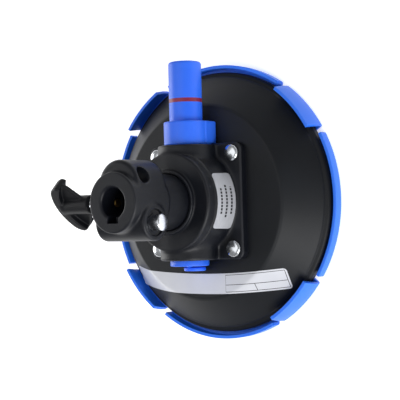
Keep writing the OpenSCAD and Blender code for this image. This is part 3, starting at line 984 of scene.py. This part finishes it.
cap_low, cap_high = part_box("valve_cap")
cap_radius = cap_high.x
cap_face = body_low.y
cap_pocket = 5.2 * mm
cap_hole = 3 * mm
nub_low, nub_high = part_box("release_lever")
nub_radius = nub_high.x
nub_height = nub_low.z + nub_radius
nub_thickness = 2.1 * mm
stem_radius = 1.5 * mm


def cap_mesh():
    shank = shank_radius - 0.05 * mm
    outline = arc_corners([
        (cap_hole, cap_low.y, 0), (cap_radius, cap_low.y, 0.7 * mm), (cap_radius, cap_face, 0.3 * mm),
        (shank, cap_face, 0), (shank, cap_high.y, 0.3 * mm), (cap_pocket, cap_high.y, 0),
        (cap_pocket, cap_face - 0.2 * mm, 0), (cap_hole, cap_face - 0.2 * mm, 0),
    ])
    return turned("valve_cap_mesh", outline, 96, "Y", on_pump)


def nub_field(x, y, z):
    pad = rod(x, z - nub_height, nub_radius, y, nub_low.y, nub_low.y + nub_thickness, 0.7 * mm)
    stem = rod(x, z - pump_height, stem_radius, y, nub_low.y + 1 * mm, nub_high.y, 0.2 * mm)
    return pad.maths("SMOOTH_MIN", stem, 0.8 * mm)


put("valve_cap_moulding", cap_mesh(), "cup", "valve_cap", pump_blue)
put("release_lever_moulding", cast("release_lever_mesh", "release_lever", 0.25 * mm, pump_blue, nub_field),
    "release_lever", "release_lever", pump_blue, 50)
release_spring = spring("release_spring_coil", "cup", "release_spring", 3 * mm, 0.3 * mm, 4.0, "Y")
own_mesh(release_spring)
dress(seal_rubber, "release_seal")
dress(brass, "release_nut")


# ---- Swivel ----
# A bronze bush on the dome's post, and a steel washer under a black socket screw that
# holds the head down on it.


def bronze_metal(place):
    pore = noise(place, 3000, 3)
    return {
        "Base Color": blend(pore, colour(142, 98, 54), colour(178, 128, 74)),
        "Roughness": spread(pore, 0.36, 0.54),
        "Normal": bump(pore, 0.02 * mm),
        "Metallic": 1.0,
    }


def black_oxide(place):
    cloud = noise(place, 800, 4)
    return {
        "Base Color": blend(cloud, colour(34, 34, 37), colour(56, 56, 60)),
        "Roughness": spread(cloud, 0.3, 0.45),
        "Normal": bump(cloud, 0.01 * mm),
        "Metallic": 0.8,
    }


black_steel = material("black_steel", black_oxide)
dress(material("bronze", bronze_metal), "swivel_bush")
dress(bpy.data.materials["plate_steel"], "swivel_washer")
dress(black_steel, "swivel_screw")


# ---- Socket head ----
# The second casting in the same black: a tube for a 16 mm spigot with a key slot, a neck
# down to the swivel, a crown with an eye for a safety cable, a housing for the safety pin
# below and a boss for the locking screw on one side.

head_low, head_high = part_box("socket_head")
face_z = head_high.z
tube_foot = dome_top + 18.8 * mm
tube_radius = 16.4 * mm
neck_radius = 15.6 * mm
spigot_radius = 8.1 * mm
land_depth = 11 * mm
web_z = body_high.z
crown_y = 9 * mm
crown_radius = 14 * mm
crown_top = face_z - 4.3 * mm
eye_y = 14.4 * mm
eye_z = face_z - 11.3 * mm
eye_radius = 4.4 * mm
key_half = 3.8 * mm
key_depth = 7.3 * mm
pin_y = -11 * mm
pin_z = face_z - 15 * mm
house_radius = 9.8 * mm
house_half = 17.3 * mm
pin_radius = 4.4 * mm
pin_flange = 5.25 * mm
pin_stop = -4.9 * mm
lock_z = face_z - 14.3 * mm
boss_radius = 10 * mm
boss_end = -20.5 * mm
screw_radius = 3 * mm


def head_field(x, y, z):
    radial = hypot(x, y)
    tube = meet(radial - tube_radius, slab(z, tube_foot, face_z), 1 * mm)
    crown = meet(hypot(x, y - crown_y) - crown_radius, slab(z, tube_foot, crown_top), 2.5 * mm)
    house = rod(y - pin_y, z - pin_z, house_radius, x, -house_half, house_half, 1.1 * mm)
    boss = rod(y, z - lock_z, boss_radius, x, boss_end, 0.0, 1.3 * mm)
    neck = meet(radial - neck_radius, slab(z, head_low.z, tube_foot + 1 * mm), 0.3 * mm)
    outside = weld([weld([tube, crown, house, boss], 2.2 * mm), neck], 0.8 * mm)
    bore = radial - spigot_radius - (z - face_z + 1 * mm).maths("MAXIMUM", 0.0)
    slot = meet(abs(x) - key_half, slab(y, pin_y, 0.0), 0.5 * mm)
    tools = [
        meet(bore, web_z - z),
        meet(radial - spigot_radius - 0.25 * mm, slab(z, web_z, face_z - land_depth)),
        meet(radial - spigot_radius - 0.6 * mm, z - web_z),
        meet(slot, face_z - key_depth - z),
        rod(y, z - lock_z, screw_radius + 0.08 * mm, x, -40 * mm, 0.0),
        hypot(y - eye_y, z - eye_z) - eye_radius,
        rod(y - pin_y, z - pin_z, pin_radius + 0.08 * mm, x, pin_stop, 40 * mm),
        rod(y - pin_y, z - pin_z, pin_flange + 0.1 * mm, x, -40 * mm, pin_stop),
        rod(y - pin_y, z - pin_z, house_radius - 2.6 * mm, x, house_half - 2 * mm, 40 * mm, 0.3 * mm),
    ]
    return cut(outside, tools, 0.4 * mm)


put("socket_head_casting", cast("socket_head_mesh", "socket_head", casting_cell, casting_black, head_field),
    "socket_head", "socket_head", casting_black, 50)


# ---- Safety pin ----
# A turned and chromed steel pin with a domed button. Pressed in against its spring, its
# narrow waist frees the groove of the spigot; a black cap closes the other end.

chrome_low, chrome_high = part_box("safety_pin")
waist_radius = 2.7 * mm
waist_start = 0.2 * mm
waist_length = 9.6 * mm
flange_length = 1.95 * mm
button_dome = 1.3 * mm


def chrome_plate(place):
    cloud = noise(place, 500, 3)
    streak = noise(place, 3600, 2)
    return {
        "Base Color": blend(cloud, colour(206, 210, 216), colour(228, 231, 235)),
        "Roughness": spread(cloud, 0.2, 0.3),
        "Normal": bump(streak, 0.003 * mm),
        "Metallic": 1.0,
    }


def pin_mesh():
    shoulder = chrome_low.x + flange_length
    waist_end = waist_start + waist_length
    rim = chrome_high.x - button_dome
    dome = [(pin_radius * math.cos(t), rim + button_dome * math.sin(t))
            for t in (math.radians(a) for a in range(0, 90, 10))]
    outline = [
        *arc_corners([
            (0, chrome_low.x, 0), (pin_flange, chrome_low.x, 0.2 * mm), (pin_flange, shoulder, 0.2 * mm),
            (pin_radius, shoulder, 0), (pin_radius, waist_start - 0.4 * mm, 0),
            (waist_radius, waist_start + 0.6 * mm, 0), (waist_radius, waist_end - 0.6 * mm, 0),
            (pin_radius, waist_end + 0.4 * mm, 0), (pin_radius, rim - 0.1 * mm, 0),
        ], 3),
        *dome, (0, chrome_high.x),
    ]
    return turned("safety_pin_mesh", outline, 72, "X", (0, pin_y, pin_z))


pin_chrome = material("pin_chrome", chrome_plate)
put("safety_pin_turned", pin_mesh(), "safety_pin", "safety_pin", pin_chrome)
pin_coil = (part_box("pin_spring")[1].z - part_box("pin_spring")[0].z) / 2 - 0.35 * mm
pin_spring = spring("pin_spring_coil", "socket_head", "pin_spring", pin_coil, 0.35 * mm, 3.0, "X")
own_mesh(pin_spring)
dress(black_steel, "pin_cap")


# ---- Locking screw ----
# A zinc-plated screw through the boss with a brass tip that bears on the spigot, and a
# two-winged thermoplastic knob moulded on its outer end.

rod_low, rod_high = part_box("lock_screw")
thread_pitch = 1.25 * mm
thread_depth = 0.55 * mm
wing_reach = -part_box("wing_knob")[0].x
wing_half = 17 * mm
wing_sag = 6 * mm
wing_thickness = 9 * mm
wing_arc = (wing_half ** 2 + wing_sag ** 2) / (2 * wing_sag)
wing_turn = math.radians(45)
hub_radius = 5.2 * mm
rim_width = 5.6 * mm
web_half = 1.2 * mm
hub_end = -27.5 * mm
root_start = -31.5 * mm
root_lean = math.radians(31.6)
knob_cell = 0.4 * mm


def threaded(start, radius, length, pitch, depth, place):
    """A rod along X with a helical thread, cut on a finely divided cylinder."""
    sides = 48
    blank = start.node("GeometryNodeMeshCylinder", {"fill_type": "NGON"}, {
        "Vertices": sides, "Side Segments": 200, "Radius": radius, "Depth": length})
    at = start.node("GeometryNodeInputPosition")
    split = at.node("ShaderNodeSeparateXYZ", {}, {"Vector": at}).socket.node
    x, y, z = [Wire(start.tree, out) for out in split.outputs]
    phase = (z / pitch + y.maths("ARCTAN2", x) / (2 * math.pi)).maths("FRACT")
    groove = (abs(phase - 0.5) * 2.6 - 0.2).maths("MAXIMUM", 0.0).maths("MINIMUM", 1.0)
    shrink = 1 - groove * depth / radius
    scale = start.node("ShaderNodeCombineXYZ", {}, {"X": shrink, "Y": shrink, "Z": 1.0})
    moved = start.node("ShaderNodeVectorMath", {"operation": "MULTIPLY"}, {0: at, 1: scale})
    cut_rod = start.node("GeometryNodeSetPosition", {}, {"Geometry": blank, "Position": moved})
    return start.node("GeometryNodeTransform", {}, {
        "Geometry": cut_rod, "Translation": place, "Rotation": (0, math.pi / 2, 0)})


def wing_field(x, y, z):
    up = z - lock_z
    span = y * math.cos(wing_turn) + up * math.sin(wing_turn)
    across = up * math.cos(wing_turn) - y * math.sin(wing_turn)
    arc = hypot(x + wing_reach - wing_arc, span) - wing_arc
    root = (x - root_start) * math.cos(root_lean) + (abs(span) - hub_radius) * math.sin(root_lean)
    plan = meet(meet(arc, root, 2.4 * mm), abs(span) - wing_half, 4 * mm)
    rim = meet(abs(across) - wing_thickness / 2, (arc + rim_width) * -1, 0.6 * mm)
    wing = meet(plan, (abs(across) - web_half).maths("SMOOTH_MIN", rim, 0.8 * mm), 1.2 * mm)
    hub = rod(y, up, hub_radius, x, -wing_reach + 3 * mm, hub_end, 0.6 * mm)
    return wing.maths("SMOOTH_MIN", hub, 1.2 * mm)


def knob_plastic(place):
    cloud = noise(place, 70, 4)
    grain = noise(place, 1900, 2)
    return {
        "Base Color": blend(cloud, colour(12, 13, 17), colour(20, 22, 27)),
        "Roughness": spread(cloud, 0.44, 0.55),
        "Normal": bump(grain, 0.05 * mm),
        "Specular IOR Level": 0.3,
    }


knob_black = material("knob_black", knob_plastic)
rod_length = rod_high.x - rod_low.x - 2.1 * mm
rod_sizes = {"Radius": screw_radius, "Length": rod_length, "Pitch": thread_pitch, "Depth": thread_depth,
             "Place": Vector((rod_low.x + rod_length / 2, 0, lock_z))}
put("lock_screw_rod", grown("lock_screw_mesh", zinc_screw, rod_sizes, threaded), "wing_screw",
    "lock_screw", zinc_screw, 30)
put("wing_knob_moulding", cast("wing_knob_mesh", "wing_knob", knob_cell, knob_black, wing_field),
    "wing_screw", "wing_knob", knob_black, 50)
dress(brass, "clamp_tip")


# ---- Studio ----
# A seamless white floor that glows a little, a large soft light at the front right, one
# overhead, a white card's light from the left, and the camera.


def paper(place):
    cloud = noise(place, 3, 3)
    return {
        "Base Color": blend(cloud, colour(250, 250, 250), colour(253, 253, 253)),
        "Roughness": spread(cloud, 0.7, 0.8),
        "Emission Color": (1.0, 1.0, 1.0, 1.0),
        "Emission Strength": 0.5,
    }


bm = bmesh.new()
bmesh.ops.create_grid(bm, x_segments=4, y_segments=4, size=4.0)
floor = bpy.data.objects.new("studio_floor", solid("studio_floor_mesh", bm))
bpy.context.scene.collection.objects.link(floor)
floor.data.materials.append(material("floor_paper", paper))

aim = Vector((0, 0, 45 * mm))


def light(name, at, size, watts, tint=(1, 1, 1)):
    lamp = bpy.data.objects.new(name, bpy.data.lights.new(name, "AREA"))
    lamp.data.size = size
    lamp.data.energy = watts
    lamp.data.color = tint
    lamp.location = at
    lamp.rotation_euler = (aim - Vector(at)).to_track_quat("-Z", "Y").to_euler()
    bpy.context.scene.collection.objects.link(lamp)


light("key_light", (0.9, -0.7, 0.55), 0.7, 12)
light("top_light", (-0.1, 0.1, 1.3), 1.2, 5)
light("left_card", (-0.9, 0.05, 0.25), 0.6, 4.5)

world = bpy.data.worlds.new("studio_world")
world.use_nodes = True
world.node_tree.nodes["Background"].inputs["Color"].default_value = (1, 1, 1, 1)
world.node_tree.nodes["Background"].inputs["Strength"].default_value = 0.3
bpy.context.scene.world = world
bpy.context.scene.view_settings.view_transform = "Standard"

camera = bpy.data.objects.new("camera", bpy.data.cameras.new("camera"))
camera.location = (0.42444, -0.01026, 0.57213)
camera.rotation_euler = [math.radians(a) for a in (-0.27002, 37.84357, -1.98505)]
camera.data.lens = 108
camera.data.sensor_width = 36
bpy.context.scene.collection.objects.link(camera)
bpy.context.scene.camera = camera
